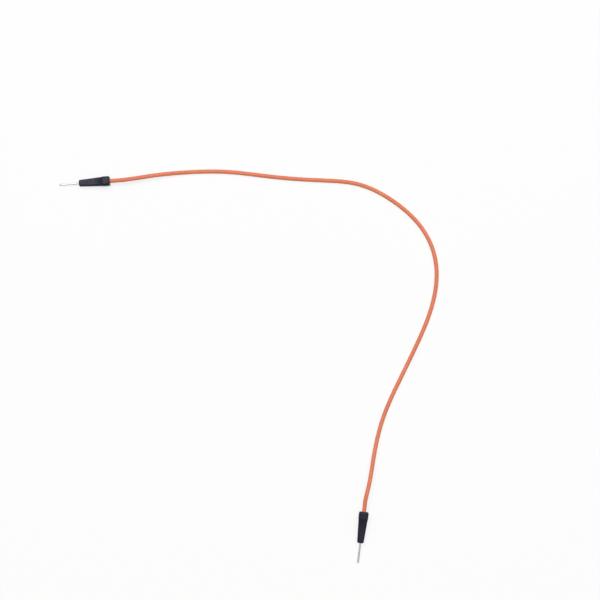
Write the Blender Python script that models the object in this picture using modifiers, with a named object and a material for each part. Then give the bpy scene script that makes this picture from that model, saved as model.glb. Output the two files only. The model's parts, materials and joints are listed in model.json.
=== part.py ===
"""Breadboard jumper wire: one stranded, insulated wire with a moulded pin plug on each end.

The wire lies on the surface z = 0 as it came to rest. Each plug is modelled in its own frame,
with +X from the wire towards the pin tip, and is set down by a parent empty. Metres, +Z up.
"""

import math

import bmesh
import bpy
import numpy as np
from mathutils import Vector

# Conductor and insulation
STRAND_COUNT = 6
STRAND_DIAMETER = 0.00016
STRAND_GAP = 0.000015
STRAND_SIDES = 6
STRAND_TURN = math.radians(60)
BUNDLE_CLEARANCE = 0.00002
INSULATION_WALL = 0.00034
TUBE_SIDES = 8
CORD_POINTS = 76

# Folded sheet of the contact
SHEET = 0.0002
WEB_THINNING = 0.00004
FOLD_STEP = math.radians(14.5)
CRIMP_FOLDS = 12
WEB_FOLDS = 4
INSULATION_CRIMP_CLEARANCE = 0.00003
CONDUCTOR_CRIMP_CLEARANCE = 0.000025
INSULATION_CRIMP_LENGTH = 0.0011
STRIP_LENGTH = 0.0003
WEB_LENGTH = 0.0004
CONDUCTOR_CRIMP_LENGTH = 0.0014
NECK_LENGTH = 0.0007
BELL_RISE = 0.00005
BELL_LENGTH = 0.00025
INSULATION_END = 0.00015
STRAND_END = 0.00015

# Round pin of the contact
PIN_RADIUS = 0.00032
PIN_EXPOSED = 0.0067
PIN_TIP_LENGTH = 0.00045
PIN_ROOT = 0.00035
PIN_BITE = 0.00006
RETAINER_RISE = 0.00013
RETAINER_LENGTH = 0.0004
RETAINER_SETBACK = 0.00015
PIN_SIDES = 16
TIP_STEPS = 4

# Moulded plug body
BODY_LENGTH = 0.0104
ENTRY_DEPTH = 0.0024
ENTRY_CLEARANCE = 0.00004
MOULD_CLEARANCE = 0.00005
END_CLEARANCE = 0.00005
COLLAR_WALL = 0.00062
COLLAR_PROUD_SIDE = 0.00015
COLLAR_LENGTH = 0.00225
COLLAR_SIDE_FALL = 0.0014
COLLAR_EDGE = 0.0005
COLLAR_CORNER = 0.0008
WAIST_SETBACK = 0.0016
WAIST_WALL = 0.00046
BODY_CORNER = 0.00055
NOSE_WALL = 0.0007
NOSE_EDGE = 0.00045
CORNER_STEPS = 4
EDGE_STEPS = 4
FALL_STEPS = 9
BORE_SIDES = 24
BORE_OVERCUT = 0.0005

# Where the plugs lie, at the middle of the face that the wire leaves, and where their pins point
PLUG_A_AT = (-0.0347, 0.0629)
PLUG_A_HEADING = math.radians(184)
PLUG_B_AT = (0.0500, -0.0473)
PLUG_B_HEADING = math.radians(263.2)

# Route of the wire in plan between the straight leads of the two plugs
LEAD_LENGTH = 0.003
LANDING_LENGTH = 0.024
CURVE_STEPS = 40
ROUTE = [
    (-0.0212, 0.0646),
    (-0.0079, 0.0660),
    (0.0055, 0.0660),
    (0.0180, 0.0646),
    (0.0290, 0.0636),
    (0.0388, 0.0631),
    (0.0475, 0.0621),
    (0.0535, 0.0600),
    (0.0591, 0.0568),
    (0.0648, 0.0524),
    (0.0713, 0.0443),
    (0.0743, 0.0341),
    (0.0734, 0.0235),
    (0.0679, 0.0087),
    (0.0621, -0.0033),
    (0.0564, -0.0163),
    (0.0533, -0.0290),
    (0.0513, -0.0400),
]

# Radii that follow from the strands outwards; a radius to the flats is smaller than one to the corners
STRAND_RADIUS = STRAND_DIAMETER / 2
LAY_RADIUS = (STRAND_DIAMETER + STRAND_GAP) / math.cos(STRAND_TURN / 2)
BUNDLE_RADIUS = LAY_RADIUS + STRAND_RADIUS
CONDUCTOR_BORE = BUNDLE_RADIUS + BUNDLE_CLEARANCE
INSULATION_RADIUS = (CONDUCTOR_BORE + INSULATION_WALL) / math.cos(math.pi / TUBE_SIDES)
FOLD_FLAT = math.cos(FOLD_STEP / 2)
BORE_FLAT = math.cos(math.pi / BORE_SIDES)
INSULATION_CRIMP_BORE = INSULATION_RADIUS + INSULATION_CRIMP_CLEARANCE
CONDUCTOR_CRIMP_BORE = BUNDLE_RADIUS + CONDUCTOR_CRIMP_CLEARANCE
INSULATION_CRIMP_OUTER = (INSULATION_CRIMP_BORE + SHEET) / FOLD_FLAT
CONDUCTOR_CRIMP_OUTER = (CONDUCTOR_CRIMP_BORE + BELL_RISE + SHEET) / FOLD_FLAT
ENTRY_RADIUS = (INSULATION_RADIUS + ENTRY_CLEARANCE) / BORE_FLAT
CAVITY_RADIUS = (INSULATION_CRIMP_OUTER + MOULD_CLEARANCE) / BORE_FLAT
CORE_RADIUS = (max(CONDUCTOR_CRIMP_OUTER, PIN_RADIUS + RETAINER_RISE) + MOULD_CLEARANCE) / BORE_FLAT
PIN_BORE_RADIUS = (PIN_RADIUS + MOULD_CLEARANCE) / BORE_FLAT

# Places along the plug's axis, from the face that the wire leaves
CRIMP_START = ENTRY_DEPTH + END_CLEARANCE
CRIMP_END = CRIMP_START + INSULATION_CRIMP_LENGTH
WEB_START = CRIMP_END + STRIP_LENGTH
CORE_START = WEB_START + WEB_LENGTH
CORE_END = CORE_START + CONDUCTOR_CRIMP_LENGTH
NECK_END = CORE_END + NECK_LENGTH
PIN_START = CORE_END + PIN_ROOT
RETAINER_START = NECK_END + RETAINER_SETBACK
RETAINER_END = RETAINER_START + RETAINER_LENGTH
PIN_END = BODY_LENGTH + PIN_EXPOSED

# Half sizes of the body's section, and where its narrow waist begins
COLLAR_HALF = CAVITY_RADIUS + COLLAR_WALL
SHOULDER_HALF_WIDTH = COLLAR_HALF - COLLAR_PROUD_SIDE
WAIST_HALF_HEIGHT = CORE_RADIUS + WAIST_WALL
NOSE_HALF_WIDTH = PIN_BORE_RADIUS + NOSE_WALL
WAIST_START = CORE_START + WAIST_SETBACK

MERGE_DISTANCE = 0.000001


def share(x, start, length):
    """How far x has got along a stretch, from 0 at its start to 1 at its end."""
    return min(max((x - start) / length, 0.0), 1.0)


def half_height(x):
    """Half the body's height at x: a collar, then a long hollow fall to the level waist."""
    collar = (1 - share(x, COLLAR_LENGTH, WAIST_START - COLLAR_LENGTH)) ** 2
    return WAIST_HALF_HEIGHT + (COLLAR_HALF - WAIST_HALF_HEIGHT) * collar


def half_width(x):
    """Half the body's width at x: a collar, a short hollow fall, and a straight taper to the nose."""
    collar = (1 - share(x, COLLAR_LENGTH, COLLAR_SIDE_FALL)) ** 2
    shoulder = COLLAR_LENGTH + COLLAR_SIDE_FALL
    taper = share(x, shoulder, BODY_LENGTH - shoulder)
    return SHOULDER_HALF_WIDTH + COLLAR_PROUD_SIDE * collar + (NOSE_HALF_WIDTH - SHOULDER_HALF_WIDTH) * taper


def corner_radius(x):
    """Radius of the section's corners at x, large on the collar and small on the waist."""
    collar = 1 - share(x, COLLAR_LENGTH, COLLAR_SIDE_FALL)
    return BODY_CORNER + (COLLAR_CORNER - BODY_CORNER) * collar


def body_stations():
    """Each section of the body as its place along the axis and how far its edge rounding draws it in."""
    stations = []
    for step in range(EDGE_STEPS + 1):
        angle = math.pi / 2 * step / EDGE_STEPS
        stations.append((COLLAR_EDGE * (1 - math.cos(angle)), COLLAR_EDGE * (1 - math.sin(angle))))
    for step in range(FALL_STEPS + 1):
        stations.append((COLLAR_LENGTH + (WAIST_START - COLLAR_LENGTH) * step / FALL_STEPS, 0.0))
    nose_start = BODY_LENGTH - NOSE_EDGE
    for step in range(EDGE_STEPS + 1):
        angle = math.pi / 2 * step / EDGE_STEPS
        stations.append((nose_start + NOSE_EDGE * math.sin(angle), NOSE_EDGE * (1 - math.cos(angle))))
    return sorted(stations)


def body_section(x, inset):
    """Points of a rectangle with round corners, square to the axis at x."""
    wide = half_width(x) - inset
    high = half_height(x) - inset
    radius = max(corner_radius(x) - inset, corner_radius(x) / 3)
    points = []
    for side_y, side_z, start in ((1, 1, 0), (-1, 1, 90), (-1, -1, 180), (1, -1, 270)):
        for step in range(CORNER_STEPS + 1):
            angle = math.radians(start + 90 * step / CORNER_STEPS)
            y = side_y * (wide - radius) + radius * math.cos(angle)
            z = side_z * (high - radius) + radius * math.sin(angle)
            points.append(Vector((x, y, z)))
    return points


def rest_tilt():
    """How far the plug's nose dips when it lies on the edge of its collar and on its belly."""
    dips = []
    for x, inset in body_stations():
        if x > COLLAR_LENGTH:
            drop = COLLAR_HALF - (half_height(x) - inset)
            dips.append(math.atan2(drop, x - COLLAR_LENGTH))
    return min(dips)


def axis_height(tilt):
    """Height of the plug's axis where the wire leaves it, with the collar's edge on the surface."""
    return COLLAR_HALF * math.cos(tilt) + COLLAR_LENGTH * math.sin(tilt)


def new_collection(name):
    collection = bpy.data.collections.new(name)
    bpy.context.scene.collection.children.link(collection)
    return collection


def new_material(name, colour, roughness, metallic):
    material = bpy.data.materials.new(name)
    material.use_nodes = True
    shader = material.node_tree.nodes["Principled BSDF"]
    shader.inputs["Base Color"].default_value = (*colour, 1)
    shader.inputs["Roughness"].default_value = roughness
    shader.inputs["Metallic"].default_value = metallic
    material.diffuse_color = (*colour, 1)
    return material


def new_object(name, data, collection, parent=None):
    thing = bpy.data.objects.new(name, data)
    collection.objects.link(thing)
    thing.parent = parent
    return thing


def mesh_from_bmesh(name, shape):
    mesh = bpy.data.meshes.new(name)
    shape.to_mesh(mesh)
    shape.free()
    return mesh


def make_helper(thing):
    """Marks an object that only cuts or builds another."""
    thing.hide_render = True
    thing.display_type = "WIRE"


def body_mesh():
    """The plug's outer form, lofted through its sections and closed at both ends."""
    shape = bmesh.new()
    rings = []
    for x, inset in body_stations():
        rings.append([shape.verts.new(point) for point in body_section(x, inset)])
    count = len(rings[0])
    for back, front in zip(rings, rings[1:]):
        for i in range(count):
            j = (i + 1) % count
            shape.faces.new((back[i], back[j], front[j], front[i]))
    shape.faces.new(rings[0][::-1])
    shape.faces.new(rings[-1])
    bmesh.ops.recalc_face_normals(shape, faces=shape.faces)
    mesh = mesh_from_bmesh("plug_body", shape)
    mesh.shade_smooth()
    mesh.set_sharp_from_angle(angle=math.radians(35))
    return mesh


def profile_mesh(name, points):
    """A half outline of radius and height, joined by edges, ready to be turned about Z."""
    mesh = bpy.data.meshes.new(name)
    corners = [(radius, 0, height) for radius, height in points]
    edges = [(i, i + 1) for i in range(len(corners) - 1)]
    mesh.from_pydata(corners, edges, [])
    return mesh


def turn(thing, sides):
    """Turns a profile into a solid and lays its axis along the plug's axis."""
    screw = thing.modifiers.new("Turn", "SCREW")
    screw.axis = "Z"
    screw.angle = 2 * math.pi
    screw.steps = sides
    screw.render_steps = sides
    screw.use_merge_vertices = True
    screw.merge_threshold = MERGE_DISTANCE
    thing.rotation_euler = (0, math.pi / 2, 0)


def bore_profile():
    """The stepped bore: wire entry, room for the crimps, and the close hole for the pin."""
    web_end = CORE_START + END_CLEARANCE
    seat = RETAINER_END + END_CLEARANCE
    front = BODY_LENGTH + BORE_OVERCUT
    return [
        (0, front),
        (PIN_BORE_RADIUS, front),
        (PIN_BORE_RADIUS, seat),
        (CORE_RADIUS, seat),
        (CORE_RADIUS, web_end),
        (CAVITY_RADIUS, WEB_START + END_CLEARANCE),
        (CAVITY_RADIUS, ENTRY_DEPTH),
        (ENTRY_RADIUS, ENTRY_DEPTH),
        (ENTRY_RADIUS, -BORE_OVERCUT),
        (0, -BORE_OVERCUT),
    ]


def pin_profile():
    """The round pin from its tip to its root, with the shoulder that holds it in the body."""
    retainer = PIN_RADIUS + RETAINER_RISE
    points = []
    for step in range(TIP_STEPS + 1):
        angle = math.pi / 2 * step / TIP_STEPS
        height = PIN_END - PIN_TIP_LENGTH * (1 - math.cos(angle))
        points.append((PIN_RADIUS * math.sin(angle), height))
    points += [
        (PIN_RADIUS, RETAINER_END),
        (retainer, RETAINER_END),
        (retainer, RETAINER_START),
        (PIN_RADIUS, RETAINER_START),
        (PIN_RADIUS, PIN_START),
        (0, PIN_START),
    ]
    return points


def fold_radius(bore, thickness):
    """Radius of the middle of a folded sheet, at its corners, that leaves this much room inside."""
    return (bore + thickness / 2) / FOLD_FLAT


def folded_mesh(name, stations, folds):
    """The middle surface of a sheet folded round the axis, open at the top."""
    shape = bmesh.new()
    rows = []
    for x, radius in stations:
        row = []
        for fold in range(-folds, folds + 1):
            angle = FOLD_STEP * fold - math.pi / 2
            row.append(shape.verts.new((x, radius * math.cos(angle), radius * math.sin(angle))))
        rows.append(row)
    for back, front in zip(rows, rows[1:]):
        for i in range(2 * folds):
            shape.faces.new((back[i], back[i + 1], front[i + 1], front[i]))
    bmesh.ops.recalc_face_normals(shape, faces=shape.faces)
    return mesh_from_bmesh(name, shape)


def insulation_crimp_mesh():
    """The wide barrel that grips the insulation."""
    radius = fold_radius(INSULATION_CRIMP_BORE, SHEET)
    stations = [(CRIMP_START, radius), (CRIMP_END, radius)]
    return folded_mesh("insulation_crimp", stations, CRIMP_FOLDS)


def conductor_crimp_mesh():
    """The narrow barrel that grips the strands, with a bell mouth towards the wire."""
    radius = fold_radius(CONDUCTOR_CRIMP_BORE, SHEET)
    stations = [
        (CORE_START, radius + BELL_RISE),
        (CORE_START + BELL_LENGTH, radius),
        (CORE_END, radius),
    ]
    return folded_mesh("conductor_crimp", stations, CRIMP_FOLDS)


def web_mesh():
    """The trough that runs under both barrels and takes hold of the pin's root."""
    thin = SHEET - WEB_THINNING
    inner = WEB_THINNING / 2
    wide = fold_radius(INSULATION_CRIMP_BORE + inner, thin)
    narrow = fold_radius(CONDUCTOR_CRIMP_BORE + inner, thin)
    stations = [
        (CRIMP_START + INSULATION_CRIMP_LENGTH / 2, wide),
        (WEB_START, wide),
        (CORE_START, narrow + BELL_RISE),
        (CORE_START + BELL_LENGTH, narrow),
        (CORE_END, narrow),
        (NECK_END, fold_radius(PIN_RADIUS - PIN_BITE, thin)),
    ]
    return folded_mesh("contact_web", stations, WEB_FOLDS)


def thicken(thing, thickness):
    solidify = thing.modifiers.new("Sheet thickness", "SOLIDIFY")
    solidify.thickness = thickness
    solidify.offset = 0
    solidify.use_even_offset = True


def add_boolean(thing, operation, other):
    boolean = thing.modifiers.new(other.name, "BOOLEAN")
    boolean.operation = operation
    boolean.object = other


def even_shading(thing):
    """Lets the large flat faces set the shading, so that they look flat beside their round edges."""
    shading = thing.modifiers.new("Shading", "WEIGHTED_NORMAL")
    shading.keep_sharp = True


def place_plug(letter, at, heading, tilt):
    """The empty that carries one plug, with its +X along the pin."""
    place = bpy.data.objects.new(f"plug_{letter}_place", None)
    bpy.context.scene.collection.objects.link(place)
    place.empty_display_size = BODY_LENGTH
    place.rotation_euler = (0, tilt, heading)
    place.location = (*at, axis_height(tilt))
    return place


def make_body(letter, place, mesh, bore, material, parts, helpers):
    body = new_object(f"plug_body_{letter}", mesh, parts, place)
    cutter = new_object(f"bore_cutter_{letter}", bore, helpers, place)
    turn(cutter, BORE_SIDES)
    make_helper(cutter)
    add_boolean(body, "DIFFERENCE", cutter)
    even_shading(body)
    body.data.materials.clear()
    body.data.materials.append(material)
    return body


def make_contact(letter, place, pin, sheets, material, parts, helpers):
    """One contact: the pin and its folded tail, joined into one piece."""
    contact = new_object(f"contact_pin_{letter}", pin, parts, place)
    turn(contact, PIN_SIDES)
    for mesh, thickness in sheets:
        blank = new_object(f"{mesh.name}_{letter}", mesh, helpers, place)
        thicken(blank, thickness)
        make_helper(blank)
        add_boolean(contact, "UNION", blank)
    even_shading(contact)
    contact.data.materials.clear()
    contact.data.materials.append(material)
    return contact


def smooth_curve(points, start_slope, end_slope):
    """Fine points of the smoothest plan curve through these, with given directions at its ends."""
    points = np.array(points)
    gaps = np.linalg.norm(np.diff(points, axis=0), axis=1)
    count = len(points)
    matrix = np.zeros((count, count))
    right = np.zeros((count, 2))
    matrix[0, 0] = 1
    matrix[-1, -1] = 1
    right[0] = start_slope
    right[-1] = end_slope
    for i in range(1, count - 1):
        before, after = gaps[i - 1], gaps[i]
        matrix[i, i - 1 : i + 2] = (after, 2 * (before + after), before)
        steps = after * (points[i] - points[i - 1]) / before + before * (points[i + 1] - points[i]) / after
        right[i] = 3 * steps
    slopes = np.linalg.solve(matrix, right)
    fine = [points[0]]
    for i, gap in enumerate(gaps):
        for t in np.linspace(0, 1, CURVE_STEPS + 1)[1:]:
            fine.append(
                (1 + 2 * t) * (1 - t) ** 2 * points[i]
                + t * (1 - t) ** 2 * gap * slopes[i]
                + t * t * (3 - 2 * t) * points[i + 1]
                + t * t * (t - 1) * gap * slopes[i + 1]
            )
    return np.array(fine)


def lengths_along(points):
    return np.concatenate([[0], np.cumsum(np.linalg.norm(np.diff(points, axis=0), axis=1))])


def lift(distance, height, slope):
    """Height of the wire this far from a plug's lead: it sinks from there and then lies flat."""
    t = min(distance / LANDING_LENGTH, 1.0)
    from_height = (1 + 2 * t) * (1 - t) ** 2
    from_slope = t * (1 - t) ** 2 * LANDING_LENGTH
    rest = INSULATION_RADIUS
    return height * from_height + slope * from_slope + rest * (1 - from_height)


def on_axis(at, heading, tilt, x):
    """World point on a plug's axis, x from the face that the wire leaves."""
    flat = x * math.cos(tilt)
    height = axis_height(tilt) - x * math.sin(tilt)
    return np.array((at[0] + flat * math.cos(heading), at[1] + flat * math.sin(heading), height))


def centreline(tilt):
    """Points down the middle of the wire, from the strands' end in one plug to that in the other."""
    insulation_end = CRIMP_END + INSULATION_END
    strand_end = CORE_END + STRAND_END
    lead_a = on_axis(PLUG_A_AT, PLUG_A_HEADING, tilt, -LEAD_LENGTH)
    lead_b = on_axis(PLUG_B_AT, PLUG_B_HEADING, tilt, -LEAD_LENGTH)
    leave_a = (-math.cos(PLUG_A_HEADING), -math.sin(PLUG_A_HEADING))
    reach_b = (math.cos(PLUG_B_HEADING), math.sin(PLUG_B_HEADING))
    plan = smooth_curve([lead_a[:2], *ROUTE, lead_b[:2]], leave_a, reach_b)
    along = lengths_along(plan)
    slope = math.tan(tilt)
    fine = [on_axis(PLUG_A_AT, PLUG_A_HEADING, tilt, insulation_end)]
    for point, distance in zip(plan, along):
        from_a = lift(distance, lead_a[2], slope)
        from_b = lift(along[-1] - distance, lead_b[2], slope)
        fine.append(np.array((*point, max(from_a, from_b))))
    fine.append(on_axis(PLUG_B_AT, PLUG_B_HEADING, tilt, insulation_end))
    fine = np.array(fine)
    along = lengths_along(fine)
    places = np.linspace(0, along[-1], CORD_POINTS)
    even = np.column_stack([np.interp(places, along, fine[:, axis]) for axis in range(3)])
    first = on_axis(PLUG_A_AT, PLUG_A_HEADING, tilt, strand_end)
    last = on_axis(PLUG_B_AT, PLUG_B_HEADING, tilt, strand_end)
    return [Vector(point) for point in (first, *even, last)]


def twisted(points, start):
    """The same line wound round itself at the lay radius, starting at an angle."""
    spacing = (points[2] - points[1]).length
    wound = []
    angle = start
    for i, point in enumerate(points):
        before = points[max(i - 1, 0)]
        after = points[min(i + 1, len(points) - 1)]
        forward = (after - before).normalized()
        side = forward.cross(Vector((0, 0, 1))).normalized()
        above = side.cross(forward)
        wound.append(point + (side * math.cos(angle) + above * math.sin(angle)) * LAY_RADIUS)
        angle += STRAND_TURN * min((after - point).length / spacing, 1.0)
    return wound


def make_tube(name, points, radius, sides, filled, collection, material):
    """A round tube of this many sides along a line of points."""
    curve = bpy.data.curves.new(name, "CURVE")
    curve.dimensions = "3D"
    curve.bevel_depth = radius
    curve.bevel_resolution = sides // 2 - 2
    curve.use_fill_caps = filled
    spline = curve.splines.new("POLY")
    spline.points.add(len(points) - 1)
    for target, point in zip(spline.points, points):
        target.co = (*point, 1)
    curve.materials.append(material)
    return new_object(name, curve, collection)


def make_insulation(points, collection, material):
    """The sleeve: an open tube given its wall inwards, so that the strands have a bore."""
    sleeve = make_tube(
        "wire_insulation", points[1:-1], INSULATION_RADIUS, TUBE_SIDES, False, collection, material
    )
    wall = sleeve.modifiers.new("Wall", "SOLIDIFY")
    wall.thickness = INSULATION_WALL
    wall.offset = -1
    wall.use_even_offset = True
    return sleeve


def make_strands(points, collection, material):
    """One straight strand in the middle and a ring of strands laid round it."""
    make_tube("strand_core", points, STRAND_RADIUS, STRAND_SIDES, True, collection, material)
    for index in range(STRAND_COUNT):
        line = twisted(points, 2 * math.pi * index / STRAND_COUNT)
        name = f"strand_lay_{index + 1}"
        make_tube(name, line, STRAND_RADIUS, STRAND_SIDES, True, collection, material)


def main():
    for old in list(bpy.data.objects):
        bpy.data.objects.remove(old)
    parts = new_collection("jumper_wire")
    helpers = new_collection("cutters")
    pvc = new_material("orange insulation", (0.80, 0.21, 0.08), 0.45, 0.0)
    black = new_material("black moulded plastic", (0.012, 0.012, 0.016), 0.5, 0.0)
    tinned = new_material("tinned copper", (0.75, 0.72, 0.68), 0.35, 1.0)
    plated = new_material("nickel plate", (0.72, 0.71, 0.69), 0.25, 1.0)

    tilt = rest_tilt()
    body = body_mesh()
    bore = profile_mesh("bore_profile", bore_profile())
    pin = profile_mesh("pin_profile", pin_profile())
    sheets = [
        (insulation_crimp_mesh(), SHEET),
        (conductor_crimp_mesh(), SHEET),
        (web_mesh(), SHEET - WEB_THINNING),
    ]
    plugs = (("a", PLUG_A_AT, PLUG_A_HEADING), ("b", PLUG_B_AT, PLUG_B_HEADING))
    for letter, at, heading in plugs:
        place = place_plug(letter, at, heading, tilt)
        make_body(letter, place, body, bore, black, parts, helpers)
        make_contact(letter, place, pin, sheets, plated, parts, helpers)

    points = centreline(tilt)
    make_insulation(points, parts, pvc)
    make_strands(points, parts, tinned)
    bpy.context.view_layer.update()


main()
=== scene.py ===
"""Looks of a breadboard jumper wire, dressed over its packed construction model.

The wire, both moulded plugs and both contacts are remade with fine surfaces in the places that the frame
gives. The strands inside the wire keep their solids. Metres, +Z up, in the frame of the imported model.
"""

import json
import math

import bpy
import numpy as np
from mathutils import Matrix, Vector


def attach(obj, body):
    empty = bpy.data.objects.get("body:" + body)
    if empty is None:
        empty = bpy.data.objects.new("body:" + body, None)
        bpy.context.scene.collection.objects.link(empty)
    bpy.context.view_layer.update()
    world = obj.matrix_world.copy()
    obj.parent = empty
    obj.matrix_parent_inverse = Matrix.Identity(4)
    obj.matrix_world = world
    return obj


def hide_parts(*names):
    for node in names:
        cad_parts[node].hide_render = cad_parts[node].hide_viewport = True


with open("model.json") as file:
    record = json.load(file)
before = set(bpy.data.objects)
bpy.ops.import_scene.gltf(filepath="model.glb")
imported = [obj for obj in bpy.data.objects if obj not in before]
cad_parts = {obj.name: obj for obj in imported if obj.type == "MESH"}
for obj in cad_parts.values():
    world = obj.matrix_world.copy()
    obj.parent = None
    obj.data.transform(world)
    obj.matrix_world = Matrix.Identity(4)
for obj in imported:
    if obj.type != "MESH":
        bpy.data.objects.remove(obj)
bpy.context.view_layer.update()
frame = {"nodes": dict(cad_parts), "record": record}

# Where the plugs lie in plan, at the middle of the face that the wire leaves
PLUG_A_AT = (-0.0347, 0.0629)
PLUG_B_AT = (0.0500, -0.0473)

# Route of the wire in plan, between straight leads out of the two plugs
LEAD_LENGTH = 0.003
LANDING_LENGTH = 0.024
CURVE_STEPS = 40
ROUTE = [
    (-0.0212, 0.0646),
    (-0.0079, 0.0660),
    (0.0055, 0.0660),
    (0.0180, 0.0646),
    (0.0290, 0.0636),
    (0.0388, 0.0631),
    (0.0475, 0.0621),
    (0.0535, 0.0600),
    (0.0591, 0.0568),
    (0.0648, 0.0524),
    (0.0713, 0.0443),
    (0.0743, 0.0341),
    (0.0734, 0.0235),
    (0.0679, 0.0087),
    (0.0621, -0.0033),
    (0.0564, -0.0163),
    (0.0533, -0.0290),
    (0.0513, -0.0400),
]

# Meshes are shaded smooth except over edges that are sharper than this
SMOOTH_ANGLE = math.radians(35)

# Insulation: its size, the print of the strands on it, and the strips that it is unrolled in
CORD_RADIUS = 0.000693
CORD_REST = 0.000695
CORD_BORE = 0.0003
CORD_SIDES = 48
CORD_SPACING = 0.0005
RINGS_PER_BORE_RING = 4
LAY_LENGTH = 0.0174
LAY_LOBES = 6
LAY_PRINT = 0.000009
END_ROUND = 0.00006
MAP_STRIPS = 7
MAP_GAP = 0.015

# Moulded plug body
BODY_LENGTH = 0.0104
COLLAR_HALF = 0.00161
COLLAR_PROUD_SIDE = 0.00015
SHOULDER_HALF_WIDTH = COLLAR_HALF - COLLAR_PROUD_SIDE
WAIST_HALF_HEIGHT = 0.001076
NOSE_HALF_WIDTH = 0.001073
COLLAR_LENGTH = 0.00225
COLLAR_SIDE_FALL = 0.0014
WAIST_START = 0.00585
COLLAR_EDGE = 0.0005
COLLAR_CORNER = 0.0008
BODY_CORNER = 0.00055
LEAST_CORNER_SHARE = 1 / 3
NOSE_EDGE = 0.00045
SEAM_RISE = 0.000014
SEAM_WIDTH = 0.00004
SEAM_HALFWAY_SHARE = 0.8
EDGE_WIDTH = 0.00004
LIP = 0.00008
LIP_STEP = 0.3 * LIP
SIDE_STEPS = 5
ARC_STEPS = 12
TOP_STEPS = 6
EDGE_STEPS = 8
COLLAR_STEPS = 6
SIDE_FALL_STEPS = 14
LATE_FALL_STEPS = 12
WAIST_STEPS = 14

# Contact: its lengths one behind the other, and its thicknesses
ENTRY_DEPTH = 0.0024
END_CLEARANCE = 0.00005
BARREL_LENGTH = 0.0011
INSULATION_END = 0.00015
STRIP_LENGTH = 0.0003
WEB_LENGTH = 0.0004
CRIMP_LENGTH = 0.0014
BELL_LENGTH = 0.00025
BELL_RISE = 0.00005
NECK_LENGTH = 0.0007
PIN_ROOT = 0.00035
PIN_BITE = 0.00006
PIN_EXPOSED = 0.0067
PIN_TIP_LENGTH = 0.00045
PIN_RADIUS = 0.00032
RETAINER_SETBACK = 0.00015
RETAINER_LENGTH = 0.0004
RETAINER_RISE = 0.00013
SHEET = 0.0002
WEB_SHEET = 0.00016
INSULATION_BARREL_BORE = 0.000725
CONDUCTOR_BARREL_BORE = 0.000307
PIN_SIDES = 48
TIP_STEPS = 12
TIP_FLAT = PIN_RADIUS / PIN_SIDES
BARREL_ANGLE = math.radians(174)
WEB_ANGLE = math.radians(58)
WEB_INSET = 0.00001
BARREL_STEPS = 44
WEB_STEPS = 15

# Places along the plug's axis, from the face that the wire leaves
BARREL_START = ENTRY_DEPTH + END_CLEARANCE
BARREL_END = BARREL_START + BARREL_LENGTH
INSULATION_INSIDE = BARREL_END + INSULATION_END
WEB_START = BARREL_END + STRIP_LENGTH
CRIMP_START = WEB_START + WEB_LENGTH
CRIMP_END = CRIMP_START + CRIMP_LENGTH
PIN_START = CRIMP_END + PIN_ROOT
NECK_END = CRIMP_END + NECK_LENGTH
RETAINER_START = NECK_END + RETAINER_SETBACK
RETAINER_END = RETAINER_START + RETAINER_LENGTH
PIN_END = BODY_LENGTH + PIN_EXPOSED

# Bore of the body: the wire's entry, a chamber for each barrel, and the pin's hole
ENTRY_RADIUS = 0.00072
CAVITY_RADIUS = 0.00099
CAVITY_END = WEB_START + END_CLEARANCE
CORE_RADIUS = 0.000616
CORE_START = CRIMP_START + END_CLEARANCE
SEAT = RETAINER_END + END_CLEARANCE
PIN_BORE_RADIUS = 0.00034

# Colours and gloss of the finishes
PVC_DEEP = (0.79, 0.200, 0.092)
PVC_BRIGHT = (0.885, 0.252, 0.118)
PVC_STREAK = (0.72, 0.166, 0.072)
PVC_SCUFFED = (0.88, 0.46, 0.34)
PVC_ROUGHNESS = (0.38, 0.5)
PVC_IOR = 1.5
BLACK_DEEP = (0.0066, 0.0067, 0.0222)
BLACK_BRIGHT = (0.0096, 0.0098, 0.0278)
BLACK_SCUFFED = (0.036, 0.036, 0.046)
# Lighter tone on the plug's edges: partly rubbed wear, partly painted highlight lines along the round
# corners
BLACK_WORN_AND_HIGHLIT = (0.038, 0.038, 0.052)
BLACK_ROUGHNESS = (0.3, 0.42)
BLACK_SPECULAR = 0.33
PLATE_DULL = (0.70, 0.695, 0.69)
PLATE_BRIGHT = (0.76, 0.755, 0.745)
PLATE_ROUGHNESS = (0.38, 0.3)
TIN = (0.74, 0.71, 0.67)
TINTED_BY_COPPER = (0.78, 0.66, 0.56)
TIN_ROUGHNESS = (0.3, 0.45)
FLOOR_COLOUR = (0.96, 0.96, 0.96, 1)
FLOOR_ROUGHNESS = 0.9

# Patterns of the finishes: features to the metre, how they are drawn out, how deep they are, and how
# strongly they tint. A share is the part of a pattern's range over which a mark comes up.
NOISE_SPAN = (0.3, 0.7)
DIE_MARKS = 9000
DIE_STRETCH = (1, 1, 0.012)
DIE_DEPTH = 0.00001
DIE_TINT = 0.5
PVC_CLOUDS = 900
PVC_CLOUD_STRETCH = (1, 1, 0.2)
PVC_GRAIN = 26000
PVC_GRAIN_DEPTH = 0.000004
PVC_SCUFFS = 5200
PVC_SCUFF_STRETCH = (1, 1, 0.3)
PVC_SCUFF_TINT = 0.45
# Patches of the lighter plug edges, which are partly rubbed wear and partly painted highlight lines
WEAR_AND_HIGHLIGHT_SPOTS = 2200
WEAR_AND_HIGHLIGHT_SHARE = (0.46, 0.68)
WEAR_AND_HIGHLIGHT_TINT = 0.7
PLUG_GRAIN = 14000
PLUG_GRAIN_DEPTH = 0.000014
FLOW_MARKS = 1200
FLOW_STRETCH = (0.35, 1, 1)
FLOW_DEPTH = 0.00002
PLUG_SCUFFS = 7000
PLUG_SCUFF_STRETCH = (1, 0.12, 0.3)
PLUG_SCUFF_TINT = 0.5
SCUFF_SHARE = (0.66, 0.78)
DRAWN_LINES = 22000
DRAWN_STRETCH = (0.02, 1, 1)
DRAWN_DEPTH = 0.000002
PLATE_CLOUDS = 1600
PLATE_CLOUD_STRETCH = (0.4, 1, 1)
TIN_CLOUDS = 3000
TIN_GRAIN = 20000
TIN_GRAIN_DEPTH = 0.000004

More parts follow.
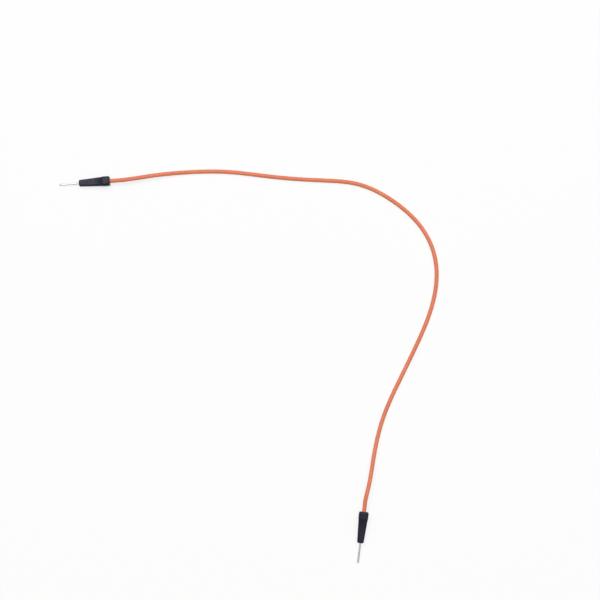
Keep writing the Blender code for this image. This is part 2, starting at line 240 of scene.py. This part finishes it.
# Camera: the photograph covers 200 mm in 600 pixels and is taken from nearly straight above
PHOTO_WIDTH = 0.2
CAMERA_AIM = (0.0288, 0.0231, 0.001)
CAMERA_DISTANCE = 0.9
CAMERA_ELEVATION = math.radians(86)
SENSOR_WIDTH = 36.0

# Light
FLOOR_SIZE = 8.0
FLOOR_WHITENESS = 0.8
ZENITH_LEVEL = 0.84
HORIZON_LEVEL = 0.06
LAMP_AZIMUTHS = (math.radians(50), math.radians(130))
LAMP_ELEVATION = math.radians(60)
LAMP_LEVEL = 0.31
LAMP_DISTANCE = 1.5
LAMP_SIZE = 0.6


def share(x, start, length):
    """How far x has got along a stretch, from 0 at its start to 1 at its end."""
    return min(max((x - start) / length, 0.0), 1.0)


def plug_place(letter, at):
    """The plug's own frame: +X along its pin, from the middle of the face that the wire leaves."""
    name = f"plug_{letter}_nose"
    mount = next(m for m in frame["record"]["mounts"] if m["name"] == name)
    along = Vector(mount["axis"]).normalized()
    across = Vector((0, 0, 1)).cross(along).normalized()
    above = along.cross(across)
    place = Matrix((along, across, above)).transposed().to_4x4()
    place.translation = (*at, mount["pos_m"][2] - along.z * BODY_LENGTH)
    return place


def finish_mesh(name, points, faces):
    """A new object from points and faces."""
    mesh = bpy.data.meshes.new(name)
    mesh.from_pydata([tuple(p) for p in points], [], faces)
    mesh.validate()
    mesh.shade_smooth()
    mesh.set_sharp_from_angle(angle=SMOOTH_ANGLE)
    piece = bpy.data.objects.new(name, mesh)
    bpy.context.scene.collection.objects.link(piece)
    return piece


def mark_points(mesh, name, values):
    """Keeps a number or a place for each point of a mesh, for its finish to read."""
    values = np.array(values, np.float32)
    kind, field = ("FLOAT", "value") if values.ndim == 1 else ("FLOAT_VECTOR", "vector")
    mesh.attributes.new(name, kind, "POINT").data.foreach_set(field, values.ravel())


def set_down(piece, place):
    """Applies a piece's modifiers, marks where its points are in the plug's own frame, and lays it down."""
    bpy.context.view_layer.update()
    made = piece.evaluated_get(bpy.context.evaluated_depsgraph_get())
    mesh = bpy.data.meshes.new_from_object(made)
    piece.modifiers.clear()
    piece.data = mesh
    mark_points(mesh, "in_plug", [vertex.co for vertex in mesh.vertices])
    mesh.transform(place)


def loft_faces(rows, count, looped):
    """Quads between each ring of points and the next, and back to the first ring where it is looped."""
    faces = []
    for row in range(rows if looped else rows - 1):
        after = (row + 1) % rows
        for i in range(count):
            j = (i + 1) % count
            faces.append((row * count + i, row * count + j, after * count + j, after * count + i))
    return faces


def dress(piece, material, slot, *nodes):
    """Gives a piece its finish and its place in the frame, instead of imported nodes."""
    piece.data.materials.clear()
    piece.data.materials.append(material)
    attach(piece, "root")
    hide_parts(*nodes)


def smooth_curve(points, start_slope, end_slope):
    """Fine points of the smoothest plan curve through these, with given directions at its ends."""
    points = np.array(points)
    gaps = np.linalg.norm(np.diff(points, axis=0), axis=1)
    count = len(points)
    matrix = np.zeros((count, count))
    right = np.zeros((count, 2))
    matrix[0, 0] = 1
    matrix[-1, -1] = 1
    right[0] = start_slope
    right[-1] = end_slope
    for i in range(1, count - 1):
        before, after = gaps[i - 1], gaps[i]
        slope_before = (points[i] - points[i - 1]) / before
        slope_after = (points[i + 1] - points[i]) / after
        matrix[i, i - 1 : i + 2] = (after, 2 * (before + after), before)
        right[i] = 3 * (after * slope_before + before * slope_after)
    slopes = np.linalg.solve(matrix, right)
    fine = [points[0]]
    for i, gap in enumerate(gaps):
        for t in np.linspace(0, 1, CURVE_STEPS + 1)[1:]:
            fine.append(
                (1 + 2 * t) * (1 - t) ** 2 * points[i]
                + t * (1 - t) ** 2 * gap * slopes[i]
                + t * t * (3 - 2 * t) * points[i + 1]
                + t * t * (t - 1) * gap * slopes[i + 1]
            )
    return np.array(fine)


def lengths_along(points):
    """How far along their line each of these points lies."""
    return np.concatenate([[0], np.cumsum(np.linalg.norm(np.diff(points, axis=0), axis=1))])


def lift(distance, height, slope):
    """Height of the wire this far from a plug's lead: it sinks from there and then lies flat."""
    t = min(distance / LANDING_LENGTH, 1.0)
    from_height = (1 + 2 * t) * (1 - t) ** 2
    from_slope = t * (1 - t) ** 2 * LANDING_LENGTH
    return height * from_height + slope * from_slope + CORD_REST * (1 - from_height)


def centreline(place_a, place_b):
    """Evenly spaced points down the middle of the insulation, from inside plug a to inside plug b."""
    lead_a = np.array(place_a @ Vector((-LEAD_LENGTH, 0, 0)))
    lead_b = np.array(place_b @ Vector((-LEAD_LENGTH, 0, 0)))
    axis_a = np.array(place_a.to_3x3().col[0])
    axis_b = np.array(place_b.to_3x3().col[0])
    level = np.linalg.norm(axis_a[:2])
    slope = -axis_a[2] / level
    plan = smooth_curve([lead_a[:2], *ROUTE, lead_b[:2]], -axis_a[:2] / level, axis_b[:2] / level)
    along = lengths_along(plan)
    fine = [np.array(place_a @ Vector((INSULATION_INSIDE, 0, 0)))]
    for point, distance in zip(plan, along):
        from_a = lift(distance, lead_a[2], slope)
        from_b = lift(along[-1] - distance, lead_b[2], slope)
        fine.append(np.array((*point, max(from_a, from_b))))
    fine.append(np.array(place_b @ Vector((INSULATION_INSIDE, 0, 0))))
    fine = np.array(fine)
    along = lengths_along(fine)
    places = np.linspace(0, along[-1], round(along[-1] / CORD_SPACING) + 1)
    return np.column_stack([np.interp(places, along, fine[:, axis]) for axis in range(3)])


def cord_frames(points):
    """The directions to the side of the line and above it at each of its points."""
    forward = np.gradient(points, axis=0)
    forward /= np.linalg.norm(forward, axis=1)[:, None]
    side = np.cross((0, 0, 1), forward)
    side /= np.linalg.norm(side, axis=1)[:, None]
    return forward, side, np.cross(forward, side)


def unroll(mesh, rows, outside_rows):
    """Lays the sleeve's faces out flat: its outside in strips, and its bore in one more beside them."""
    row, side = np.divmod(np.arange(rows * CORD_SIDES), CORD_SIDES)
    per_strip = math.ceil(outside_rows / MAP_STRIPS)
    in_bore = row >= outside_rows
    strip = np.where(in_bore, MAP_STRIPS, row // per_strip)
    step = np.where(in_bore, 1 / (rows - outside_rows), 1 / per_strip)
    start = np.where(in_bore, row - outside_rows, row % per_strip) * step
    along = start[:, None] + step[:, None] * np.array((0, 0, 1, 1))
    around = (side[:, None] + np.array((0, 1, 1, 0))) / CORD_SIDES
    across = (strip[:, None] + MAP_GAP + (1 - 2 * MAP_GAP) * around) / (MAP_STRIPS + 1)
    flat = mesh.uv_layers.new(name="OFBake")
    flat.uv.foreach_set("vector", np.stack((along, across), 2).astype(np.float32).ravel())


def make_insulation(points, material):
    """The extruded sleeve, faintly marked by the lay of the strands, with its bore left open."""
    forward, side, above = cord_frames(points)
    along = lengths_along(points)
    angles = np.linspace(0, 2 * math.pi, CORD_SIDES, endpoint=False)
    rings = []
    straight = []

    def add_ring(i, radius, shift, printed):
        """A ring round point i, shifted along the line, and where it would be on a straight wire."""
        winding = LAY_LOBES * (angles + 2 * math.pi * along[i] / LAY_LENGTH)
        radii = radius - printed * (1 - np.cos(winding)) / 2
        around = np.outer(radii * np.cos(angles), side[i]) + np.outer(radii * np.sin(angles), above[i])
        rings.append(points[i] + forward[i] * shift + around)
        flat = (radius * np.cos(angles), radius * np.sin(angles), np.full(CORD_SIDES, along[i] + shift))
        straight.append(np.column_stack(flat))

    last = len(points) - 1
    add_ring(0, CORD_BORE, 0, 0)
    add_ring(0, CORD_RADIUS - END_ROUND, 0, 0)
    add_ring(0, CORD_RADIUS, END_ROUND, 0)
    for i in range(1, last):
        add_ring(i, CORD_RADIUS, 0, LAY_PRINT)
    add_ring(last, CORD_RADIUS, -END_ROUND, 0)
    add_ring(last, CORD_RADIUS - END_ROUND, 0, 0)
    add_ring(last, CORD_BORE, 0, 0)
    outside_rows = len(rings) - 1
    for i in range(last - RINGS_PER_BORE_RING, 0, -RINGS_PER_BORE_RING):
        add_ring(i, CORD_BORE, 0, 0)

    faces = loft_faces(len(rings), CORD_SIDES, True)
    piece = finish_mesh("orange_insulation", np.concatenate(rings), faces)
    mark_points(piece.data, "laid_straight", np.concatenate(straight))
    unroll(piece.data, len(rings), outside_rows)
    dress(piece, material, "insulation", "wire_insulation")


def half_height(x):
    """Half the body's height at x: a collar, then a long hollow fall to the level waist."""
    collar = (1 - share(x, COLLAR_LENGTH, WAIST_START - COLLAR_LENGTH)) ** 2
    return WAIST_HALF_HEIGHT + (COLLAR_HALF - WAIST_HALF_HEIGHT) * collar


def half_width(x):
    """Half the body's width at x: a collar, a short hollow fall, and a straight taper to the nose."""
    collar = (1 - share(x, COLLAR_LENGTH, COLLAR_SIDE_FALL)) ** 2
    shoulder = COLLAR_LENGTH + COLLAR_SIDE_FALL
    taper = (SHOULDER_HALF_WIDTH - NOSE_HALF_WIDTH) * share(x, shoulder, BODY_LENGTH - shoulder)
    return SHOULDER_HALF_WIDTH + (COLLAR_HALF - SHOULDER_HALF_WIDTH) * collar - taper


def corner_radius(x):
    """Radius of the section's corners at x, large on the collar and small on the waist."""
    collar = 1 - share(x, COLLAR_LENGTH, COLLAR_SIDE_FALL)
    return BODY_CORNER + (COLLAR_CORNER - BODY_CORNER) * collar


def all_round(quarter):
    """A whole ring from its first quarter, which runs from the +Y side up to the top."""
    ring = list(quarter)
    ring += [(-y, z, *rest) for y, z, *rest in quarter[-2::-1]]
    ring += [(-y, -z, *rest) for y, z, *rest in quarter[1:]]
    ring += [(y, -z, *rest) for y, z, *rest in quarter[-2:0:-1]]
    return ring


def body_outline(x, inset, seam, wear_and_highlight=0.0):
    """A section of the body: a rectangle with round corners, with the mould's seam on its two sides.

    The fourth number of each point says how much lighter edge it gets there, partly rubbed wear and partly
    painted highlight: along both edges of each round corner.
    """
    wide = half_width(x) - inset
    high = half_height(x) - inset
    radius = max(corner_radius(x) - inset, corner_radius(x) * LEAST_CORNER_SHARE)
    flat_side = high - radius
    flat_top = wide - radius
    quarter = [
        (wide + seam, 0.0, wear_and_highlight),
        (wide + seam * SEAM_HALFWAY_SHARE, SEAM_WIDTH / 2, wear_and_highlight),
        (wide, SEAM_WIDTH, wear_and_highlight),
    ]
    for z in (*np.linspace(SEAM_WIDTH, flat_side, SIDE_STEPS + 1)[1:-1], flat_side - EDGE_WIDTH):
        quarter.append((wide, z, wear_and_highlight))
    for step in range(ARC_STEPS + 1):
        angle = math.pi / 2 * step / ARC_STEPS
        # Both ends of each round corner get the lighter edge: rubbed wear and a painted highlight line
        at_edge = 1.0 if step in (0, ARC_STEPS) else wear_and_highlight
        y = flat_top + radius * math.cos(angle)
        quarter.append((y, flat_side + radius * math.sin(angle), at_edge))
    for y in (flat_top - EDGE_WIDTH, *np.linspace(flat_top, 0, TOP_STEPS + 1)[1:]):
        quarter.append((y, high, wear_and_highlight))
    return [(x, *point) for point in all_round(quarter)]


def circle(x, radius, count):
    """A ring of points round the plug's axis, with neither edge wear nor painted highlight."""
    points = []
    for i in range(count):
        angle = 2 * math.pi * i / count
        points.append((x, radius * math.cos(angle), radius * math.sin(angle), 0.0))
    return points


def body_rings():
    """Rings of points from the wire entry over the outside to the nose, and back through the bore."""
    rings = []
    for step in range(EDGE_STEPS + 1):
        angle = math.pi / 2 * step / EDGE_STEPS
        seam = SEAM_RISE * (step == EDGE_STEPS)
        # The collar's back edges get the lighter edge: rubbed wear and painted highlight lines
        wear_and_highlight = float(step in (0, EDGE_STEPS))
        back = COLLAR_EDGE * (1 - math.cos(angle))
        rings.append(body_outline(back, COLLAR_EDGE * (1 - math.sin(angle)), seam, wear_and_highlight))
    shoulder = COLLAR_LENGTH + COLLAR_SIDE_FALL
    nose_start = BODY_LENGTH - NOSE_EDGE
    # The last number of each stretch says whether its end ring gets the lighter edge of rubbed wear and
    # painted highlight
    stretches = (
        (COLLAR_EDGE, COLLAR_LENGTH, COLLAR_STEPS, 1.0),
        (COLLAR_LENGTH, shoulder, SIDE_FALL_STEPS, 0.0),
        (shoulder, WAIST_START, LATE_FALL_STEPS, 0.0),
        (WAIST_START, nose_start, WAIST_STEPS, 1.0),
    )
    for start, end, steps, wear_and_highlight in stretches:
        for x in (start + EDGE_WIDTH, *np.linspace(start, end, steps + 1)[1:-1], end - EDGE_WIDTH):
            rings.append(body_outline(x, 0.0, SEAM_RISE))
        rings.append(body_outline(end, 0.0, SEAM_RISE, wear_and_highlight))
    for step in range(1, EDGE_STEPS + 1):
        angle = math.pi / 2 * step / EDGE_STEPS
        front = nose_start + NOSE_EDGE * math.sin(angle)
        wear_and_highlight = float(step == EDGE_STEPS)
        rings.append(body_outline(front, NOSE_EDGE * (1 - math.cos(angle)), 0.0, wear_and_highlight))
    count = len(rings[0])
    bore = (
        (BODY_LENGTH, PIN_BORE_RADIUS + LIP),
        (BODY_LENGTH - LIP_STEP, PIN_BORE_RADIUS + LIP_STEP),
        (BODY_LENGTH - LIP, PIN_BORE_RADIUS),
        (SEAT, PIN_BORE_RADIUS),
        (SEAT, CORE_RADIUS),
        (CORE_START, CORE_RADIUS),
        (CAVITY_END, CAVITY_RADIUS),
        (ENTRY_DEPTH, CAVITY_RADIUS),
        (ENTRY_DEPTH, ENTRY_RADIUS),
        (LIP, ENTRY_RADIUS),
        (LIP_STEP, ENTRY_RADIUS + LIP_STEP),
        (0.0, ENTRY_RADIUS + LIP),
    )
    for x, radius in bore:
        rings.append(circle(x, radius, count))
    return rings


def make_body(letter, place, material):
    """The moulded body of one plug."""
    rings = np.array(body_rings())
    faces = loft_faces(len(rings), len(rings[0]), True)
    piece = finish_mesh(f"moulded_plug_{letter}", rings[:, :, :3].reshape(-1, 3), faces)
    # Keeps the lighter edge for the finish: partly rubbed wear, partly painted highlight lines
    mark_points(piece.data, "wear_and_highlight", rings[:, :, 3].ravel())
    even = piece.modifiers.new("Even shading", "WEIGHTED_NORMAL")
    even.keep_sharp = True
    set_down(piece, place)
    dress(piece, material, "plug", f"plug_body_{letter}")


def pin_mesh():
    """The round pin, turned about its axis from its root to its tip."""
    profile = [
        (PIN_START, PIN_RADIUS),
        (RETAINER_START, PIN_RADIUS),
        (RETAINER_START, PIN_RADIUS + RETAINER_RISE),
        (RETAINER_END, PIN_RADIUS + RETAINER_RISE),
        (RETAINER_END, PIN_RADIUS),
    ]
    for step in range(TIP_STEPS, -1, -1):
        angle = math.pi / 2 * step / TIP_STEPS
        radius = max(PIN_RADIUS * math.sin(angle), TIP_FLAT)
        profile.append((PIN_END - PIN_TIP_LENGTH * (1 - math.cos(angle)), radius))
    points = [point[:3] for x, radius in profile for point in circle(x, radius, PIN_SIDES)]
    faces = loft_faces(len(profile), PIN_SIDES, False)
    last = (len(profile) - 1) * PIN_SIDES
    faces.append(tuple(range(PIN_SIDES))[::-1])
    faces.append(tuple(range(last, last + PIN_SIDES)))
    return points, faces


def fold_mesh(stations, thickness, half_angle, steps):
    """A sheet folded round the axis, open at the top, through stations of place and inner radius."""
    points = []
    angles = np.linspace(-half_angle, half_angle, steps + 1) - math.pi / 2
    for x, bore in stations:
        outer = bore + thickness
        for angle in angles:
            points.append((x, outer * math.cos(angle), outer * math.sin(angle)))
        for angle in angles[::-1]:
            points.append((x, bore * math.cos(angle), bore * math.sin(angle)))
    count = 2 * len(angles)
    faces = loft_faces(len(stations), count, False)
    last = (len(stations) - 1) * count
    for i in range(steps):
        faces.append((i + 1, i, count - 1 - i, count - 2 - i))
        faces.append((last + i, last + i + 1, last + count - 2 - i, last + count - 1 - i))
    return points, faces


def contact_tail():
    """The sheets behind the pin: the barrel round the insulation, the barrel round the strands, the web.

    The web bends a little inside the narrow barrel, and its steps are its own, so that no edges coincide.
    """
    wide = [(BARREL_START, INSULATION_BARREL_BORE), (BARREL_END, INSULATION_BARREL_BORE)]
    narrow = [
        (CRIMP_START, CONDUCTOR_BARREL_BORE + BELL_RISE),
        (CRIMP_START + BELL_LENGTH, CONDUCTOR_BARREL_BORE),
        (CRIMP_END, CONDUCTOR_BARREL_BORE),
    ]
    inner = (SHEET - WEB_SHEET) / 2
    web = [
        ((BARREL_START + BARREL_END) / 2, INSULATION_BARREL_BORE + inner),
        (WEB_START, INSULATION_BARREL_BORE + inner),
        (CRIMP_START + WEB_INSET, CONDUCTOR_BARREL_BORE + inner + BELL_RISE),
        (CRIMP_START + BELL_LENGTH, CONDUCTOR_BARREL_BORE + inner),
        (CRIMP_END - WEB_INSET, CONDUCTOR_BARREL_BORE + inner),
        (NECK_END, PIN_RADIUS - PIN_BITE),
    ]
    return (
        ("insulation_barrel", fold_mesh(wide, SHEET, BARREL_ANGLE, BARREL_STEPS)),
        ("conductor_barrel", fold_mesh(narrow, SHEET, BARREL_ANGLE, BARREL_STEPS)),
        ("web", fold_mesh(web, WEB_SHEET, WEB_ANGLE, WEB_STEPS)),
    )


def make_contact(letter, place, material):
    """The plated contact: a round pin in front and the folded tail that grips the wire."""
    piece = finish_mesh(f"plated_contact_{letter}", *pin_mesh())
    blanks = []
    for name, (points, faces) in contact_tail():
        blank = finish_mesh(f"{name}_{letter}", points, faces)
        union = piece.modifiers.new(name, "BOOLEAN")
        union.operation = "UNION"
        union.object = blank
        blanks.append(blank)
    set_down(piece, place)
    for blank in blanks:
        bpy.data.objects.remove(blank)
    dress(piece, material, "contact", f"contact_pin_{letter}")


def new_material(name):
    material = bpy.data.materials.new(name)
    material.use_nodes = True
    return material, material.node_tree, material.node_tree.nodes["Principled BSDF"]


def add_node(tree, kind, inputs=(), **settings):
    """A node with its settings, whose inputs take numbers, or the outputs of other nodes."""
    node = tree.nodes.new(kind)
    for name, value in settings.items():
        setattr(node, name, value)
    for name, value in dict(inputs).items():
        if isinstance(value, bpy.types.NodeSocket):
            tree.links.new(value, node.inputs[name])
        else:
            node.inputs[name].default_value = value
    return node


def maths(tree, operation, first, second):
    return add_node(tree, "ShaderNodeMath", {0: first, 1: second}, operation=operation).outputs["Value"]


def scaled(tree, vector, scale):
    return add_node(tree, "ShaderNodeMapping", {"Vector": vector, "Scale": scale}).outputs["Vector"]


def noise(tree, vector, scale, detail=2.0, roughness=0.5):
    inputs = {"Vector": vector, "Scale": scale, "Detail": detail, "Roughness": roughness}
    return add_node(tree, "ShaderNodeTexNoise", inputs).outputs["Fac"]


def blend_colours(tree, factor, first, second):
    """From the first colour to the second by the factor; a colour may be a node's output."""
    mix = add_node(tree, "ShaderNodeMix", data_type="RGBA")
    tree.links.new(factor, mix.inputs["Factor"])
    for slot, colour in (("A", first), ("B", second)):
        socket = next(s for s in mix.inputs if s.name == slot and s.type == "RGBA")
        if isinstance(colour, bpy.types.NodeSocket):
            tree.links.new(colour, socket)
        else:
            socket.default_value = (*colour, 1)
    return next(s for s in mix.outputs if s.type == "RGBA")


def spread_range(tree, value, low, high, from_low=NOISE_SPAN[0], from_high=NOISE_SPAN[1]):
    """Spreads the range in which a noise mostly lies, or another one, from low to high."""
    inputs = {"Value": value, "From Min": from_low, "From Max": from_high, "To Min": low, "To Max": high}
    return add_node(tree, "ShaderNodeMapRange", inputs).outputs["Result"]


def bump(tree, height, distance, strength, normal=None):
    inputs = {"Height": height, "Distance": distance, "Strength": strength}
    if normal is not None:
        inputs["Normal"] = normal
    return add_node(tree, "ShaderNodeBump", inputs).outputs["Normal"]


def make_pvc():
    """Satin orange insulation: lengthwise marks of the die, fine grain, uneven gloss and light scuffs."""
    material, tree, shader = new_material("orange_pvc")
    straight = add_node(tree, "ShaderNodeAttribute", attribute_name="laid_straight").outputs["Vector"]
    die = noise(tree, scaled(tree, straight, DIE_STRETCH), DIE_MARKS, detail=3)
    cloud = noise(tree, scaled(tree, straight, PVC_CLOUD_STRETCH), PVC_CLOUDS, detail=3)
    grain = noise(tree, straight, PVC_GRAIN)
    scuff = noise(tree, scaled(tree, straight, PVC_SCUFF_STRETCH), PVC_SCUFFS, detail=3, roughness=0.7)
    scuffed = spread_range(tree, scuff, 0, PVC_SCUFF_TINT, *SCUFF_SHARE)
    plain = blend_colours(tree, spread_range(tree, cloud, 0, 1), PVC_DEEP, PVC_BRIGHT)
    streaked = blend_colours(tree, spread_range(tree, die, 0, DIE_TINT), plain, PVC_STREAK)
    tree.links.new(blend_colours(tree, scuffed, streaked, PVC_SCUFFED), shader.inputs["Base Color"])
    tree.links.new(spread_range(tree, grain, *PVC_ROUGHNESS), shader.inputs["Roughness"])
    marks = bump(tree, die, DIE_DEPTH, strength=0.6)
    grained = bump(tree, grain, PVC_GRAIN_DEPTH, strength=0.5, normal=marks)
    tree.links.new(grained, shader.inputs["Normal"])
    shader.inputs["IOR"].default_value = PVC_IOR
    return material


def make_black_plastic():
    """Blue-black moulding: a fine eroded grain, soft flow marks, lighter edges that are partly rubbed wear
    and partly painted highlight lines, and a few light scuffs.
    """
    material, tree, shader = new_material("black_moulding")
    place = add_node(tree, "ShaderNodeAttribute", attribute_name="in_plug").outputs["Vector"]
    wear_and_highlight = add_node(tree, "ShaderNodeAttribute", attribute_name="wear_and_highlight").outputs["Fac"]
    spots = noise(tree, place, WEAR_AND_HIGHLIGHT_SPOTS, detail=3, roughness=0.6)
    # Lighter patches along the edges: rubbed wear together with painted highlight lines on the round
    # corners
    edge_wear_and_highlight = maths(tree, "MULTIPLY", wear_and_highlight, spread_range(tree, spots, 0, WEAR_AND_HIGHLIGHT_TINT, *WEAR_AND_HIGHLIGHT_SHARE))
    grain = noise(tree, place, PLUG_GRAIN, detail=3, roughness=0.6)
    flow = noise(tree, scaled(tree, place, FLOW_STRETCH), FLOW_MARKS, detail=3)
    scuff = noise(tree, scaled(tree, place, PLUG_SCUFF_STRETCH), PLUG_SCUFFS, roughness=0.7)
    scuffed = spread_range(tree, scuff, 0, PLUG_SCUFF_TINT, *SCUFF_SHARE)
    plain = blend_colours(tree, spread_range(tree, flow, 0, 1), BLACK_DEEP, BLACK_BRIGHT)
    handled = blend_colours(tree, scuffed, plain, BLACK_SCUFFED)
    tree.links.new(blend_colours(tree, edge_wear_and_highlight, handled, BLACK_WORN_AND_HIGHLIT), shader.inputs["Base Color"])
    tree.links.new(spread_range(tree, flow, *BLACK_ROUGHNESS), shader.inputs["Roughness"])
    waves = bump(tree, flow, FLOW_DEPTH, strength=0.3)
    grained = bump(tree, grain, PLUG_GRAIN_DEPTH, strength=0.6, normal=waves)
    tree.links.new(grained, shader.inputs["Normal"])
    shader.inputs["Specular IOR Level"].default_value = BLACK_SPECULAR
    return material


def make_plated_metal():
    """Bright plate over a drawn pin: fine lengthwise lines and clouds of duller tone."""
    material, tree, shader = new_material("bright_plate")
    place = add_node(tree, "ShaderNodeAttribute", attribute_name="in_plug").outputs["Vector"]
    drawn = noise(tree, scaled(tree, place, DRAWN_STRETCH), DRAWN_LINES, detail=3)
    cloud = noise(tree, scaled(tree, place, PLATE_CLOUD_STRETCH), PLATE_CLOUDS, detail=3)
    colour = blend_colours(tree, spread_range(tree, cloud, 0, 1), PLATE_DULL, PLATE_BRIGHT)
    tree.links.new(colour, shader.inputs["Base Color"])
    tree.links.new(spread_range(tree, cloud, *PLATE_ROUGHNESS), shader.inputs["Roughness"])
    tree.links.new(bump(tree, drawn, DRAWN_DEPTH, strength=0.25), shader.inputs["Normal"])
    shader.inputs["Metallic"].default_value = 1.0
    return material


def make_tinned_copper():
    """Dull tin on copper strands, with a little of the copper showing through."""
    material, tree, shader = new_material("tinned_copper")
    place = add_node(tree, "ShaderNodeTexCoord").outputs["Object"]
    cloud = noise(tree, place, TIN_CLOUDS, detail=3)
    colour = blend_colours(tree, spread_range(tree, cloud, 0, 1), TIN, TINTED_BY_COPPER)
    tree.links.new(colour, shader.inputs["Base Color"])
    tree.links.new(spread_range(tree, cloud, *TIN_ROUGHNESS), shader.inputs["Roughness"])
    grained = bump(tree, noise(tree, place, TIN_GRAIN), TIN_GRAIN_DEPTH, strength=0.5)
    tree.links.new(grained, shader.inputs["Normal"])
    shader.inputs["Metallic"].default_value = 1.0
    return material


def seen_directly(tree):
    """1 for rays from the camera, a mirror or a clear surface, and 0 for the rays that light a thing."""
    rays = add_node(tree, "ShaderNodeLightPath").outputs
    seen = maths(tree, "MAXIMUM", rays["Is Camera Ray"], rays["Is Glossy Ray"])
    return maths(tree, "MAXIMUM", seen, rays["Is Transmission Ray"])


def make_floor():
    """A white table top that reads as white paper and keeps a faint shadow of the wire."""
    material, tree, shader = new_material("white_floor")
    shader.inputs["Base Color"].default_value = FLOOR_COLOUR
    shader.inputs["Roughness"].default_value = FLOOR_ROUGHNESS
    shader.inputs["Specular IOR Level"].default_value = 0.0
    white = add_node(tree, "ShaderNodeEmission").outputs["Emission"]
    weight = maths(tree, "MULTIPLY", seen_directly(tree), FLOOR_WHITENESS)
    mix = add_node(tree, "ShaderNodeMixShader", {"Fac": weight, 1: shader.outputs["BSDF"], 2: white})
    tree.links.new(mix.outputs["Shader"], tree.nodes["Material Output"].inputs["Surface"])
    half = FLOOR_SIZE / 2
    corners = [(-half, -half, 0), (half, -half, 0), (half, half, 0), (-half, half, 0)]
    floor = finish_mesh("floor", corners, [(0, 1, 2, 3)])
    floor.data.materials.append(material)


def make_world():
    """A plain white studio that is brighter overhead than at the level of the table."""
    world = bpy.data.worlds.new("studio")
    world.use_nodes = True
    bpy.context.scene.world = world
    tree = world.node_tree
    direction = add_node(tree, "ShaderNodeTexCoord").outputs["Generated"]
    height = add_node(tree, "ShaderNodeSeparateXYZ", {"Vector": direction}).outputs["Z"]
    above = maths(tree, "MAXIMUM", height, 0.0)
    squared = maths(tree, "MULTIPLY", above, above)
    background = tree.nodes["Background"]
    background.inputs["Color"].default_value = (1, 1, 1, 1)
    level = spread_range(tree, squared, HORIZON_LEVEL, ZENITH_LEVEL, 0.0, 1.0)
    tree.links.new(level, background.inputs["Strength"])


def make_lamp(azimuth):
    """A soft square lamp that lights a white sheet facing it to the lamps' level."""
    lamp = bpy.data.lights.new("lamp", "AREA")
    lamp.shape = "SQUARE"
    lamp.size = LAMP_SIZE
    lamp.energy = LAMP_LEVEL * math.pi ** 2 * LAMP_DISTANCE ** 2
    holder = bpy.data.objects.new("lamp", lamp)
    bpy.context.scene.collection.objects.link(holder)
    flat = math.cos(LAMP_ELEVATION)
    away = Vector((math.cos(azimuth) * flat, math.sin(azimuth) * flat, math.sin(LAMP_ELEVATION)))
    holder.location = Vector(CAMERA_AIM) + away * LAMP_DISTANCE
    holder.rotation_euler = away.to_track_quat("Z", "Y").to_euler()


def make_camera():
    """The camera above the table, tilted a little from straight down."""
    camera = bpy.data.cameras.new("camera")
    camera.sensor_width = SENSOR_WIDTH
    camera.lens = SENSOR_WIDTH * CAMERA_DISTANCE / PHOTO_WIDTH
    camera.clip_start = 0.01
    camera.clip_end = 100
    holder = bpy.data.objects.new("camera", camera)
    bpy.context.scene.collection.objects.link(holder)
    back = Vector((0, -math.cos(CAMERA_ELEVATION), math.sin(CAMERA_ELEVATION)))
    holder.location = Vector(CAMERA_AIM) + back * CAMERA_DISTANCE
    holder.rotation_euler = back.to_track_quat("Z", "Y").to_euler()
    bpy.context.scene.camera = holder


def main():
    place_a = plug_place("a", PLUG_A_AT)
    place_b = plug_place("b", PLUG_B_AT)
    make_insulation(centreline(place_a, place_b), make_pvc())
    black = make_black_plastic()
    plate = make_plated_metal()
    for letter, place in (("a", place_a), ("b", place_b)):
        make_body(letter, place, black)
        make_contact(letter, place, plate)
    tinned = make_tinned_copper()
    for name, node in frame["nodes"].items():
        if name.startswith("strand_"):
            node.data.materials.clear()
            node.data.materials.append(tinned)
    make_floor()
    make_world()
    for azimuth in LAMP_AZIMUTHS:
        make_lamp(azimuth)
    make_camera()
    bpy.context.scene.view_settings.view_transform = "Standard"


main()
bpy.context.view_layer.update()
